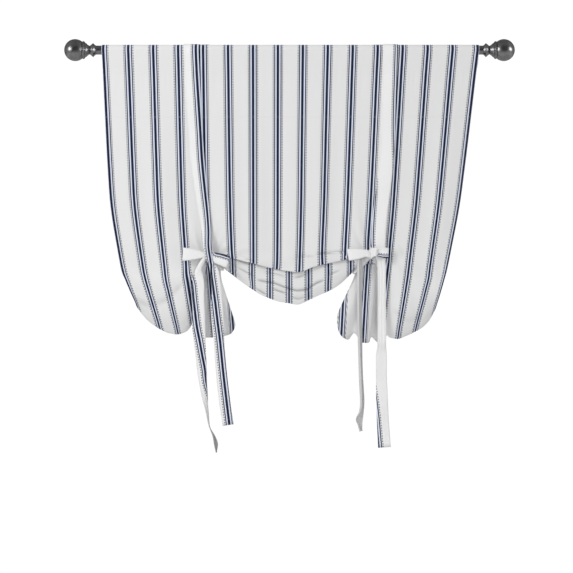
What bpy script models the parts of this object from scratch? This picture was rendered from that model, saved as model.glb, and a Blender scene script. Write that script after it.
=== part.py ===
"""A tie-up curtain hanging on its rod: one striped panel with a rod pocket, drawn up by two pairs
of tied ribbons into a swag with a rounded, ballooning side at each end.

The origin is on the rod's axis at mid length, +X runs along the rod and the front faces -Y.
The panel is a grid whose points follow its cloth from the pocket's flap, round the rod, down the
front, through the folds and up the back to the hem.
"""
import math

import bmesh
import bpy
import numpy as np
from mathutils import Matrix, Vector

# ---------------------------------------------------------------- driving sizes, in metres
MM = 0.001
PANEL_WIDTH = 1.067          # flat width of the panel
PANEL_SHIFT = 2.5 * MM       # the panel's middle beside the rod's
DROP = 1.140                 # from the rod's axis to the lowest tie end
CLOTH = 0.8 * MM             # thickness of the panel and of the ties
GAP = 0.3 * MM               # least gap between touching pieces
ROD_RADIUS = 12.7 * MM
ROD_WALL = 0.8 * MM
POCKET_RADIUS = ROD_RADIUS + 1.9 * MM
POCKET_DEPTH = 82 * MM       # seam below the rod's axis
ROD_BEYOND_PANEL = 13.5 * MM # bare rod between the panel's width and each collar
COLLAR_INNER = PANEL_WIDTH / 2 + ROD_BEYOND_PANEL    # rod end, where each collar starts
COLLAR_LENGTH = 18.5 * MM
COLLAR_PEAK_RADIUS = 19.5 * MM
SPIGOT_RADIUS = 5.0 * MM
BALL_RADIUS = 31.0 * MM
BALL_OFFSET = 59.5 * MM      # ball's centre beyond the collar's inner face
STRIPES = 16
STRIPE_BAND = 0.12           # half width of a stripe group, as a part of the pitch
FIRST_STRIPE = -0.07         # the cloth's edges, counted in stripes from the first one
LAST_STRIPE = 15.07
STRIPE_PITCH = PANEL_WIDTH / (LAST_STRIPE - FIRST_STRIPE)
FIRST_STRIPE_X = PANEL_SHIFT - PANEL_WIDTH / 2 - FIRST_STRIPE * STRIPE_PITCH
WIDE = PANEL_WIDTH / 1.067   # the tables below were measured at these sizes and follow them
TALL = DROP / 1.140

WHITE = (0.80, 0.80, 0.80)
NAVY = (0.045, 0.055, 0.13)
PEWTER = (0.10, 0.10, 0.11)

# The drawn-up outline. Each station is (stripe number, x, z) in millimetres.
LEVEL_Z = -566 * TALL        # height at which the stations of LEVEL are measured
LEVEL = ((-0.07, -487), (1, -415), (2, -352), (3, -293), (4, -232), (5, -163), (6, -102), (7, -34),
         (8, 30), (9, 92), (10, 157), (11, 223), (12, 282), (13, 338), (14, 400), (15.07, 457))
UPPER_FOLD = ((-0.07, -470, -628), (1, -400, -645), (2, -342, -651), (2.6, -310, -645),
              (3, -287, -631), (3.4, -262, -608), (3.7, -245, -583), (4, -232, -572),
              (4.5, -198, -579), (5, -161, -589), (6, -102, -604), (7, -36, -620), (8, 27, -628),
              (8.6, 66, -614), (9, 93, -607), (10, 156, -593), (10.5, 188, -583), (11, 221, -573),
              (11.5, 246, -572), (11.9, 269, -589), (12.3, 290, -617), (13, 327, -642),
              (14, 389, -645), (15.07, 442, -628))
LOWER_FOLD = ((-0.07, -426, -727), (0.35, -402, -758), (0.7, -379, -778), (1.05, -358, -791),
              (1.4, -338, -800), (1.9, -314, -804), (2.5, -290, -797), (2.8, -277, -784),
              (3, -267, -758), (3.2, -258, -719), (3.4, -249, -674), (3.6, -242, -637),
              (3.8, -236, -611), (4, -231, -601), (4.6, -180, -616), (5, -154, -637),
              (5.5, -132, -657), (6, -106, -676), (6.5, -81, -692), (7, -55, -703),
              (7.5, -28, -712), (8, -1, -716), (8.5, 25, -717), (9, 54, -709), (9.5, 82, -697),
              (10, 110, -682), (10.5, 139, -665), (11, 168, -636), (11.25, 190, -610),
              (11.5, 241, -601), (11.6, 245, -606), (11.75, 255, -642), (11.9, 265, -699),
              (12.05, 273, -756), (12.2, 280, -795), (12.5, 290, -814), (13, 304, -817),
              (13.5, 325, -809), (14, 350, -797), (14.4, 369, -787), (14.7, 390, -768),
              (15.07, 412, -733))
BACK_START = ((-0.07, -432, -679), (1, -366, -741), (2, -313, -758), (2.6, -290, -747),
              (3, -267, -702), (3.4, -246, -640), (3.8, -233, -606), (4, -231, -610),
              (4.5, -219, -604), (5.05, -212, -599), (5.3, -207, -600), (5.45, -204, -600),
              (5.6, -201, -601), (5.75, -192, -605), (6, -132, -623),
              (6.5, -83, -654), (7.5, -27, -676), (8.5, 27, -682), (9.3, 72, -668),
              (10, 120, -642), (10.25, 150, -622), (10.38, 180, -610), (10.5, 196, -603),
              (10.65, 203, -601), (10.8, 208, -600), (10.92, 212, -600), (11.3, 228, -603),
              (11.5, 239, -611), (11.8, 250, -611), (12.1, 267, -679), (12.4, 282, -741),
              (12.8, 293, -775), (13.5, 324, -770), (14.3, 369, -747), (15.07, 417, -693))
HEM = ((-0.07, -449, -566), (1, -395, -566), (1.8, -344, -577), (2.3, -316, -606),
       (2.6, -299, -645), (2.9, -282, -702), (3.15, -267, -758), (3.4, -256, -798),
       (3.9, -231, -814), (4.4, -194, -811), (4.8, -168, -804), (5.05, -154, -778),
       (5.3, -171, -722), (5.45, -181, -686), (5.6, -189, -650), (5.75, -195, -620),
       (6, -171, -572),
       (6.4, -117, -541), (7.5, -24, -524), (8.5, 38, -521), (9.3, 89, -529), (10, 137, -552),
       (10.25, 172, -572), (10.38, 194, -604), (10.5, 187, -630), (10.65, 172, -662),
       (10.8, 148, -711), (10.92, 131, -760), (11.05, 140, -798), (11.2, 154, -815), (11.3, 166, -820),
       (11.45, 183, -801), (11.65, 205, -828), (11.85, 226, -829), (12, 236, -815),
       (12.2, 256, -828), (12.5, 273, -815), (12.8, 284, -770), (13.1, 301, -708),
       (13.4, 321, -645), (13.8, 350, -606), (14.3, 381, -583), (15.07, 426, -572))

# Depths in millimetres at each control point below the seam: on the sides, at the knots, on the swag
DEPTHS = {
    "chest": (-9, -9, -9),
    "waist": (-11, -10, -11),
    "above": (-18, -11, -17),
    "fold": (-27, -10, -16),
    "tuck_up": (-31, -9, -12),
    "tuck_top": (-31, -8, -7.5),
    "tuck_down": (-28, -6, -3),
    "band": (-18, -3, -9),
    "turn": (0, 1, 2),
    "behind": (17, 4, 6.5),
    "turned": (21, 9, 11),
    "back": (23, 10, 13),
    "hem": (18, 6, 13),
}
TUCK = 46 * TALL             # height of the hidden tuck behind the swag's upper fold
LEFT_KNOT = (-234 * WIDE, -580 * TALL)
RIGHT_KNOT = (242 * WIDE, -574 * TALL)


def stations(table):
    """A smooth curve through a table's stations, without overshoot; gives one value per column."""
    data = np.array(table, float)
    keys, values = data[:, 0], data[:, 1:] * (WIDE, TALL)[:data.shape[1] - 1]
    step = np.diff(keys)[:, None]
    slope = np.diff(values, axis=0) / step
    tangent = np.zeros_like(values)
    left, right = slope[:-1], slope[1:]
    same = left * right > 0
    mean = np.where(same, 2 * left * right / np.where(same, left + right, 1), 0)
    tangent[1:-1] = mean
    tangent[0], tangent[-1] = slope[0], slope[-1]

    def read(key):
        key = min(max(key, keys[0]), keys[-1])
        i = min(int(np.searchsorted(keys, key, side="right")) - 1, len(keys) - 2)
        h = keys[i + 1] - keys[i]
        t = (key - keys[i]) / h
        a = (1 + 2 * t) * (1 - t) ** 2
        b = t * (1 - t) ** 2
        c = t * t * (3 - 2 * t)
        d = t * t * (t - 1)
        return a * values[i] + b * h * tangent[i] + c * values[i + 1] + d * h * tangent[i + 1]
    return read


def ramp(value, start, end):
    """0 at start, 1 at end, smooth between."""
    t = min(max((value - start) / (end - start), 0.0), 1.0)
    return t * t * (3 - 2 * t)


def mix(a, b, t):
    return a + (b - a) * t


def catmull_rom(points, t):
    """Point at t (counted in spans) on a smooth curve through the points."""
    last = len(points) - 1
    i = min(int(t), last - 1)
    t = t - i
    p1, p2 = points[i], points[i + 1]
    p0 = points[i - 1] if i > 0 else 2 * p1 - p2
    p3 = points[i + 2] if i + 2 <= last else 2 * p2 - p1
    return 0.5 * (2 * p1 + (p2 - p0) * t + (2 * p0 - 5 * p1 + 4 * p2 - p3) * t * t
                  + (3 * p1 - p0 - 3 * p2 + p3) * t ** 3)


read_level = stations(LEVEL)
read_upper = stations(UPPER_FOLD)
read_lower = stations(LOWER_FOLD)
read_behind = stations(BACK_START)
read_hem = stations(HEM)


def top_x(stripe):
    return 1000 * (FIRST_STRIPE_X + STRIPE_PITCH * stripe)


def column_x(stripe, z):
    """The front's x at a height above the folds: the panel narrows faster near the knots."""
    t = z / LEVEL_Z
    drift = 0.6 * t + 0.4 * max(t, 0) ** 6
    return mix(top_x(stripe), read_level(stripe)[0], drift)


def above_x(stripe, z, upper):
    """x a little above the upper fold, whether that lies over or under the level line."""
    if z > LEVEL_Z:
        return column_x(stripe, z)
    return mix(read_level(stripe)[0], upper[0], (z - LEVEL_Z) / (upper[1] - LEVEL_Z))


def shares(stripe):
    """How much of a column belongs to the swag and to the ballooning sides; the rest is knot."""
    swag = ramp(stripe, 4.2, 5.3) * (1 - ramp(stripe, 10.2, 11.3))
    side = (1 - ramp(stripe, 2.7, 3.8)) + ramp(stripe, 11.75, 12.8)
    return side, swag


def depth(name, side, swag):
    at_side, at_knot, at_swag = DEPTHS[name]
    return at_side * side + at_swag * swag + at_knot * (1 - side - swag)


def fan(stripe):
    """How much of a column's lower end hangs as a fan below a knot."""
    left = ramp(stripe, 3.1, 3.7) * (1 - ramp(stripe, 5.1, 5.6))
    right = ramp(stripe, 10.4, 10.9) * (1 - ramp(stripe, 12.2, 12.9))
    return left + right


def near_knot(stripe):
    """1 where the cloth's lower end turns down again at a knot."""
    left = ramp(stripe, 2.8, 3.6) * (1 - ramp(stripe, 5.6, 6.2))
    right = ramp(stripe, 9.9, 10.4) * (1 - ramp(stripe, 12.1, 12.9))
    return left + right


def hem_swing(stripe):
    """1 where the hem swings down from the back of a side to its fan, so it hangs clear behind."""
    left = ramp(stripe, 2.4, 2.9) * (1 - ramp(stripe, 3.25, 3.8))
    right = ramp(stripe, 11.9, 12.3) * (1 - ramp(stripe, 12.8, 13.3))
    return left + right


def column_controls(stripe):
    """Control points (x, y, z) in millimetres down one column of cloth, from the rod's front."""
    side, swag = shares(stripe)
    wave = 1.6 * math.sin(stripe * 2.1) + 1.2 * math.sin(stripe * 4.7 + 1)
    upper, lower = read_upper(stripe), read_lower(stripe)
    behind, hem = read_behind(stripe), read_hem(stripe)
    points = []

    def add(x, z, name, extra=0.0):
        points.append(np.array((x, depth(name, side, swag) + extra, z)))

    top = top_x(stripe)
    points.append(np.array((top, -1000 * POCKET_RADIUS * math.cos(math.radians(20)),
                            -1000 * POCKET_RADIUS * math.sin(math.radians(20)))))
    seam = -1000 * POCKET_DEPTH
    points.append(np.array((column_x(stripe, 0.55 * seam), -11.6, 0.55 * seam)))
    points.append(np.array((column_x(stripe, seam), -8.8, seam)))
    for z, name, share in ((-190, "chest", 0.5), (-330, "chest", 1.0), (-450, "waist", 1.4)):
        add(column_x(stripe, z * TALL), z * TALL, name, wave * share)
    above_z = upper[1] + 42 * TALL
    add(above_x(stripe, above_z, upper), above_z, "above", wave)
    add(upper[0], upper[1], "fold", wave)
    steps = (("tuck_up", 0.20, 0.1, TUCK * 0.8), ("tuck_top", 0.40, 0.5, TUCK),
             ("tuck_down", 0.60, 0.95, TUCK * 0.6))
    for name, part, shift, lift in steps:
        along = mix(upper, lower, part)
        tucked = np.array((mix(upper[0], lower[0], shift), upper[1] + lift))
        spot = mix(along, tucked, swag)
        add(spot[0], spot[1], name, wave * swag)
    along = mix(upper, lower, mix(0.82, 0.5, swag))
    add(mix(along[0], lower[0], swag), along[1], "band")
    add(lower[0], lower[1], "turn")
    add(behind[0], behind[1], "behind")
    flute = fan(stripe) * math.sin(2 * math.pi * (stripe - 0.1) / 0.62)
    swing = hem_swing(stripe)
    after = mix(behind, hem, 0.25 * (1 - min(1, swing + near_knot(stripe))) + 0.03)
    add(after[0], after[1], "turned", 3 * swing)
    middle = mix(behind, hem, 0.5)
    add(middle[0], middle[1], "back", 3.5 * flute + 7 * swing)
    add(hem[0], hem[1], "hem", 7 * flute * (1 - swing) + 12 * swing)
    return points


def pocket_rows():
    """Points (y, z) in millimetres from the flap's edge up the back and over the rod."""
    rows = [(-7.3, -1000 * POCKET_DEPTH), (5.0, -560 * POCKET_DEPTH)]
    for i in range(7):
        angle = math.radians(-20 + 220 * i / 6)
        rows.append((1000 * POCKET_RADIUS * math.cos(angle), 1000 * POCKET_RADIUS * math.sin(angle)))
    return rows


POCKET = pocket_rows()


def lower_rows():
    """Spans of the rows below the pocket: closer together where the cloth turns."""
    rows = [1.0, 2.0, 3.0, 4.0, 5.0, 5.6, 6.3, 6.75, 7.0, 7.35, 8.0, 8.6, 9.0, 9.5, 10.0]
    rows += [10.5, 11.0, 11.5, 11.8, 12.0, 12.25, 12.6, 13.0, 13.5, 14.0, 15.0, 16.0]
    return rows


LOWER = lower_rows()
ROWS = len(POCKET) + len(LOWER)


def panel_columns():
    """Stripe numbers of the grid's columns: the edges of each stripe band, and points between."""
    columns = []
    for n in range(STRIPES):
        columns += [n - STRIPE_BAND, n + STRIPE_BAND, n + 0.5]
        if n in (2, 3, 4, 5, 10, 11, 12):
            columns += [n + 0.31, n + 0.69]
    columns += [2.85, 4.22, 4.4, 4.85, 5.4, 5.6, 10.38, 10.8, 11.22, 11.4, 11.8, 12.22]
    inside = sorted({round(c, 2) for c in columns if FIRST_STRIPE < c < LAST_STRIPE})
    return [FIRST_STRIPE] + inside + [LAST_STRIPE]


def cloth_point(stripe, row):
    """World position of the panel's middle surface at a column and a row."""
    if row < len(POCKET):
        y, z = POCKET[row]
        x = top_x(stripe) if row > 0 else column_x(stripe, z)
        return Vector((x, y, z)) * MM
    spot = catmull_rom(column_controls(stripe), LOWER[row - len(POCKET)])
    return Vector(spot) * MM


def front_depth(x, z, half_width):
    """The front cloth's foremost y in millimetres over a width at one height."""
    found = 0.0
    for i in range(9):
        want = x + half_width * (i - 4) / 4
        low, high = FIRST_STRIPE, LAST_STRIPE
        for _ in range(18):
            middle = (low + high) / 2
            if column_x(middle, z) < want:
                low = middle
            else:
                high = middle
        found = min(found, column_depth(low, z))
    return found


def column_depth(stripe, z):
    """The front cloth's y in millimetres on one column at a height above the folds."""
    points = column_controls(stripe)
    low, high = 0.0, 7.0
    for _ in range(18):
        middle = (low + high) / 2
        if catmull_rom(points, middle)[2] > z:
            low = middle
        else:
            high = middle
    return catmull_rom(points, low)[1]


def material(name, colour, roughness, metallic=0.0):
    made = bpy.data.materials.new(name)
    made.use_nodes = True
    shader = made.node_tree.nodes["Principled BSDF"]
    shader.inputs["Base Color"].default_value = (*colour, 1)
    shader.inputs["Roughness"].default_value = roughness
    shader.inputs["Metallic"].default_value = metallic
    made.diffuse_color = (*colour, 1)
    return made


def add_object(name, mesh, collection, *materials):
    made = bpy.data.objects.new(name, mesh)
    for item in materials:
        mesh.materials.append(item)
    collection.objects.link(made)
    return made


def solidify(target, thickness):
    shell = target.modifiers.new("thickness", "SOLIDIFY")
    shell.thickness = thickness
    shell.offset = 0
    return shell


def make_panel(collection, white, navy):
    """The panel: a grid moved onto its draped form, then given its thickness."""
    columns = panel_columns()
    form = bmesh.new()
    bmesh.ops.create_grid(form, x_segments=len(columns) - 1, y_segments=ROWS - 1, size=0.5)
    for vert in form.verts:
        i = round((vert.co.x + 0.5) * (len(columns) - 1))
        j = round((0.5 - vert.co.y) * (ROWS - 1))
        vert.co = cloth_point(columns[i], j)
    for face in form.faces:
        face.smooth = True
    mesh = bpy.data.meshes.new("curtain_panel")
    form.to_mesh(mesh)
    form.free()
    panel = add_object("curtain_panel", mesh, collection, white, navy)
    paint_stripes(mesh, columns)
    solidify(panel, CLOTH)
    return panel


def paint_stripes(mesh, columns):
    """Gives the faces inside each stripe band the navy colour."""
    for face in mesh.polygons:
        xs = [v % len(columns) for v in face.vertices]
        middle = (columns[min(xs)] + columns[max(xs)]) / 2
        nearest = round(middle)
        face.material_index = int(abs(middle - nearest) < STRIPE_BAND)


def ribbon(name, stops, collection, look, turns=2, across=2):
    """A tie: a flat strip swept through stops of (x, y, z, width, twist in degrees), millimetres."""
    path = [placed(stop) for stop in stops]
    count = (len(path) - 1) * turns
    form = bmesh.new()
    bmesh.ops.create_grid(form, x_segments=across, y_segments=count, size=0.5)
    spots = [catmull_rom(path, i / turns) for i in range(count + 1)]
    frames = strip_frames(spots)
    for vert in form.verts:
        i = round((vert.co.x + 0.5) * across)
        j = round((0.5 - vert.co.y) * count)
        offset = (i / across - 0.5) * spots[j][3]
        vert.co = (Vector(spots[j][:3]) + frames[j] * float(offset)) * MM
    for face in form.faces:
        face.smooth = True
    mesh = bpy.data.meshes.new(name)
    form.to_mesh(mesh)
    form.free()
    made = add_object(name, mesh, collection, look)
    solidify(made, CLOTH)
    return made


def placed(stop):
    """A stop of a tie at its place: stops below the pocket follow the panel's width and drop."""
    below = ramp(-stop[2], 20, 45)
    spot = np.array(stop, float)
    spot[0] *= WIDE
    spot[2] *= mix(1, TALL, below)
    return spot


def strip_frames(spots):
    """The direction across the strip at each spot: in the plane that faces front, then twisted."""
    directions = []
    last = Vector((1, 0, 0))
    for j in range(len(spots)):
        ahead = spots[min(j + 1, len(spots) - 1)][:3] - spots[max(j - 1, 0)][:3]
        tangent = Vector(ahead).normalized()
        side = Vector((0, 1, 0)).cross(tangent)
        if side.length < 0.3:
            side = last - tangent * last.dot(tangent)
        if side.dot(last) < 0:
            side = -side
        side.normalize()
        last = side
        directions.append(Matrix.Rotation(math.radians(spots[j][4]), 3, tangent) @ side)
    return directions


def front_strap(stations_down):
    """Stops of a tie's upper run over the pocket and down the panel, from (z, x, width) stations."""
    clear = 1000 * (CLOTH + GAP) + 1.4
    top, top_width = stations_down[0][1:]
    stops = [(top, -3.0, 1000 * POCKET_RADIUS + clear - 0.3, top_width, 0),
             (top, -11.5, 11.8, top_width, 0),
             (top, -1000 * POCKET_RADIUS - clear, -4.0, top_width, 0)]
    for z, x, width in stations_down[1:]:
        lift = 3.5 if z < -500 else 0
        depth_here = front_depth(x * WIDE, z * TALL, width / 2)
        stops.append((x, depth_here - clear - lift, z, width, 0))
    return stops


LEFT_STRAP = ((14, -276, 44), (-45, -275, 43), (-85, -274, 43), (-150, -271, 42), (-230, -266, 41),
              (-310, -260, 39), (-390, -251, 36), (-460, -241, 32), (-510, -234, 28))
RIGHT_STRAP = ((14, 285, 42), (-45, 284, 42), (-85, 283, 42), (-150, 281, 42), (-230, 278, 41),
               (-310, 274, 40), (-390, 267, 40), (-460, 261, 39), (-510, 258, 34))


def make_ties(collection, white):
    left_front = front_strap(LEFT_STRAP)
    left_front += [(-231, -33, -548, 22, 0), (-231, -36.5, -568, 18, 0), (-231, -37.5, -592, 17, 0),
                   (-229, -38.5, -618, 22, 0), (-221, -36, -680, 28, 8), (-209, -26, -780, 29, -5),
                   (-198, -22, -900, 30, 6), (-187, -20, -1000, 30, 0), (-180, -19, -1061, 31, 0)]
    ribbon("left_front_tie", left_front, collection, white)

    right_front = front_strap(RIGHT_STRAP)
    right_front += [(258, -22.5, -545, 30, 0), (257, -23.6, -568, 28, 0), (258, -24.2, -594, 28, 0),
                    (260, -27.0, -628, 27, 0), (261, -31, -690, 25, -6), (261, -27, -800, 27, 4),
                    (260, -22, -920, 32, -4), (262, -20, -1030, 34, 0), (267, -19, -1123, 37, 0)]
    ribbon("right_front_tie", right_front, collection, white)

    left_back = back_tie((-234, -580), -248, (-184, -637), (-301, -578, 36), (-172, -603, 31),
                         LEFT_TAIL)
    ribbon("left_back_tie", left_back, collection, white)
    right_back = back_tie((236, -574), 262, (172, -648), (279, -569, 28), (167, -579, 32),
                          RIGHT_TAIL)
    ribbon("right_back_tie", right_back, collection, white)


LEFT_TAIL = [(-246, -31, -598, 11, 10), (-264, -33.5, -636, 13, 15), (-271, -33, -700, 26, 10),
             (-264, -31, -790, 30, -12), (-250, -27, -880, 34, 8), (-236, -24, -970, 28, 25),
             (-227, -22, -1066, 14, 50), (-212, -21, -1108, 24, 20), (-204, -21, -1138, 14, 0)]
RIGHT_TAIL = [(229, -26.8, -587, 9, 10), (205, -26.9, -594, 9, 20), (187, -28.5, -622, 9, 55),
              (187, -31, -710, 9, 60), (197, -28, -800, 15, 50), (201, -25, -900, 13, 55),
              (204, -23, -985, 12, 50), (197, -22, -1040, 24, 30), (206, -21, -1075, 9, 40)]


def bow_loop(knot, tip, width, neck, outward, turn, inward):
    """Stops out from the knot on one layer of a bow's loop, round its tip and back on the other."""
    parts = (0.3, 0.6, 0.88)
    stops = []
    for t, y in zip(parts, outward):
        stops.append((mix(knot[0], tip[0], t), y, mix(knot[1], tip[1], t),
                      mix(neck, width, min(1, 1.3 * t)), 0))
    stops.append((tip[0], turn, tip[1], width, 0))
    for t, y in zip(reversed(parts), inward):
        stops.append((mix(knot[0], tip[0], t), y, mix(knot[1], tip[1], t),
                      mix(neck, width, min(1, 1.3 * t)), 0))
    return stops


def back_tie(knot, top, under, first_tip, second_tip, tail):
    """Stops of a tie that hangs behind, comes under the cloth and makes the bow's two loops."""
    x, z = knot
    start = 1000 * POCKET_RADIUS
    stops = [(top, 3.0, start + 1.6, 40, 0), (top, 12.0, 10.5, 40, 0), (top, start + 2.2, -4.0, 40, 0),
             (top, 11.5, -40.0, 38, 0), (top, 4.0, -90, 36, 0), (mix(top, x, 0.4), 8.0, -230, 34, 0),
             (mix(top, x, 0.8), 17.0, -400, 30, 0), (x, 30.0, -510, 24, 0),
             (mix(x, under[0], 0.5), 32.0, -585, 14, 0), (under[0], 24.0, under[1] + 2, 10, 0),
             (under[0], 6.0, under[1] - 3, 9, 0), (under[0], -12.0, under[1], 9, 0),
             (mix(x, under[0], 0.5), -17.5, mix(z, under[1], 0.55), 10, 0), (x, -25.6, z, 11, 0)]
    stops += bow_loop(knot, first_tip[:2], first_tip[2], 13, (-27.5, -28, -29), -32.5,
                      (-36, -36.5, -34.6))
    stops.append((x, -32.6, z, 12, 0))
    stops += bow_loop(knot, second_tip[:2], second_tip[2], 13, (-34.6, -37, -36.5), -33.6,
                      (-30.8, -30.6, -30.2))
    stops.append((x, -29.6, z, 11, 0))
    return stops + tail


def turned(name, profile, collection, look, centre, side, closed=True, steps=20):
    """A turned piece from its profile of (distance along the rod, radius)."""
    points = [(radius, 0.0, along) for along, radius in reversed(profile)]
    mesh = bpy.data.meshes.new(name)
    edges = [(i, i + 1) for i in range(len(points) - 1)]
    if closed:
        edges.append((len(points) - 1, 0))
    mesh.from_pydata(points, edges, [])
    made = add_object(name, mesh, collection, look)
    made.location = (side * centre, 0, 0)
    made.rotation_euler = (0, side * math.pi / 2, 0)
    screw = made.modifiers.new("turn", "SCREW")
    screw.steps = screw.render_steps = steps
    screw.use_merge_vertices = True
    screw.merge_threshold = 0.00005
    screw.use_smooth_shade = True
    screw.use_normal_flip = False
    return made


def collar_profile():
    """Double cone with a rim that sits on the rod's end, bored for the finial's spigot."""
    bore = SPIGOT_RADIUS + GAP
    plug = ROD_RADIUS - ROD_WALL - GAP
    return [(-16 * MM, bore), (-16 * MM, plug), (GAP, plug), (GAP, ROD_RADIUS),
            (2.4 * MM, ROD_RADIUS + 0.9 * MM), (7.6 * MM, COLLAR_PEAK_RADIUS - 0.8 * MM),
            (8.4 * MM, COLLAR_PEAK_RADIUS), (9.6 * MM, COLLAR_PEAK_RADIUS - 0.4 * MM),
            (COLLAR_LENGTH, 12.3 * MM), (COLLAR_LENGTH, bore)]


def finial_profile():
    """Spigot, flared neck with two steps, and the ball."""
    start = COLLAR_LENGTH + GAP
    profile = [(-12 * MM, 0), (-12 * MM, SPIGOT_RADIUS - 0.8 * MM), (-11.2 * MM, SPIGOT_RADIUS),
               (start, SPIGOT_RADIUS), (start, 12.0 * MM), (start + 2 * MM, 13.2 * MM),
               (start + 10 * MM, 20.0 * MM), (start + 12.2 * MM, 20.0 * MM),
               (start + 12.6 * MM, 21.8 * MM), (start + 15 * MM, 24.6 * MM),
               (start + 19.0 * MM, 25.6 * MM)]
    first = math.acos(max(-1, (start + 19.6 * MM - BALL_OFFSET) / BALL_RADIUS))
    for i in range(11):
        angle = first * (1 - i / 10)
        radius = BALL_RADIUS * math.sin(angle) if i < 10 else 0
        profile.append((BALL_OFFSET + BALL_RADIUS * math.cos(angle), radius))
    return profile


def make_rod(collection, pewter):
    """The rod's tube, open at its ends, with a collar and a ball finial at each end."""
    inner = ROD_RADIUS - ROD_WALL
    wall = [(-COLLAR_INNER, inner), (-COLLAR_INNER, ROD_RADIUS),
            (COLLAR_INNER, ROD_RADIUS), (COLLAR_INNER, inner)]
    turned("rod_tube", wall, collection, pewter, 0, 1)
    for name, side in (("left", -1), ("right", 1)):
        turned(name + "_rod_collar", collar_profile(), collection, pewter, COLLAR_INNER, side)
        turned(name + "_finial", finial_profile(), collection, pewter, COLLAR_INNER, side,
               closed=False)


def main():
    for item in list(bpy.data.objects):
        bpy.data.objects.remove(item, do_unlink=True)
    collection = bpy.data.collections.new("tie_up_curtain")
    bpy.context.scene.collection.children.link(collection)
    white = material("cotton_white", WHITE, 0.9)
    navy = material("cotton_navy_stripe", NAVY, 0.9)
    ribbon_white = material("tie_white", WHITE, 0.9)
    pewter = material("dark_pewter", PEWTER, 0.35, 1.0)
    make_rod(collection, pewter)
    make_panel(collection, white, navy)
    make_ties(collection, ribbon_white)


main()
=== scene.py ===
# %% [markdown]
# # A tie-up curtain on its rod
# The packed model is the fixed frame of this lesson: metres, the rod along X, the front facing -Y and
# the origin on the rod's axis. Each finer piece made below takes the place of one plain solid.

# %% Load the frame
import math

import bmesh
import bpy
import numpy as np
from mathutils import Matrix, Vector


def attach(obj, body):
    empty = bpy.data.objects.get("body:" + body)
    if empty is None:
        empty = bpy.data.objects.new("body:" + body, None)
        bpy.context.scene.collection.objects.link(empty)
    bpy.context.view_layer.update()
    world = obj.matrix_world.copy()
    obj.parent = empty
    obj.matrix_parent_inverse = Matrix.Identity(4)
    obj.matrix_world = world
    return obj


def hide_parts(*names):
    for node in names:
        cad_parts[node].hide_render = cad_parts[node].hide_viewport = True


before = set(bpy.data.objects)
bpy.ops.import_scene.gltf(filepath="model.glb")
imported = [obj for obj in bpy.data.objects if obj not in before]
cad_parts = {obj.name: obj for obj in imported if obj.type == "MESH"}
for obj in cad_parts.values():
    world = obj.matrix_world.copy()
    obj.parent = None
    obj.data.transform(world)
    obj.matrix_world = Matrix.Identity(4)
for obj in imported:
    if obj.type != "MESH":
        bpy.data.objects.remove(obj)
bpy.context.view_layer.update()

MM = 0.001


def mix(a, b, t):
    return a + (b - a) * t


def ramp(value, start, end):
    """0 at start, 1 at end, smooth between; works on one number or on an array."""
    t = np.clip((value - start) / (end - start), 0.0, 1.0)
    return t * t * (3 - 2 * t)


# %% [markdown]
# ## Camera
# A catalogue picture of a hanging curtain is taken from far away and straight on, so nothing
# converges. A long lens at six metres gives that flat view, and the middle of the picture lies a
# little below the swag.

# %% Camera
VIEW_WIDTH = 1.6216                     # metres across the picture at the rod
LENS, SENSOR = 135.0, 36.0
VIEW_CENTRE = (-0.0085, 0.0, -0.669)
camera_data = bpy.data.cameras.new("front_camera")
camera_data.lens, camera_data.sensor_width = LENS, SENSOR
camera = bpy.data.objects.new("front_camera", camera_data)
camera.location = (VIEW_CENTRE[0], -VIEW_WIDTH * LENS / SENSOR, VIEW_CENTRE[2])
camera.rotation_euler = (math.pi / 2, 0, 0)
camera_data.clip_end = 60
bpy.context.scene.collection.objects.link(camera)
bpy.context.scene.camera = camera
print("camera distance", round(-camera.location.y, 3))

# %% [markdown]
# ## A small language for shader maths
# A stripe is a sum of simple conditions on the cloth's width, which reads best as an expression.
# This class wraps one socket of a node tree, so that + - * / on it add Math nodes.

# %% Shader expressions
class Value:
    def __init__(self, tree, socket):
        self.tree, self.socket = tree, socket

    def node(self, kind, settings=None, **inputs):
        """Adds any node: settings first, then each input by its name or its number (in0, in1)."""
        made = self.tree.nodes.new(kind)
        for key, value in (settings or {}).items():
            setattr(made, key, value)
        for key, value in inputs.items():
            slot = made.inputs[int(key[2:])] if key.startswith("in") and key[2:].isdigit() else None
            slot = slot or made.inputs[key.replace("_", " ")]
            if isinstance(value, Value):
                self.tree.links.new(value.socket, slot)
            else:
                slot.default_value = value
        return made

    def math(self, operation, *terms):
        made = self.node("ShaderNodeMath", {"operation": operation},
                         **{"in%d" % i: term for i, term in enumerate(terms)})
        return Value(self.tree, made.outputs[0])

    def between(self, low, high):
        """0 below low, 1 above high, smooth between; high under low turns it round."""
        made = self.node("ShaderNodeMapRange", {"interpolation_type": "SMOOTHSTEP"}, in0=self)
        rising = high > low
        for i, number in ((1, min(low, high)), (2, max(low, high)), (3, 0 if rising else 1),
                          (4, 1 if rising else 0)):
            made.inputs[i].default_value = number
        return Value(self.tree, made.outputs[0])

    def blend(self, first, second):
        """A colour: first where this value is 0, second where it is 1."""
        made = self.node("ShaderNodeMix", {"data_type": "RGBA"}, in0=self)
        for slot, colour in ((6, first), (7, second)):
            if isinstance(colour, Value):
                self.tree.links.new(colour.socket, made.inputs[slot])
            else:
                made.inputs[slot].default_value = (*colour, 1)
        return Value(self.tree, made.outputs[2])


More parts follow.
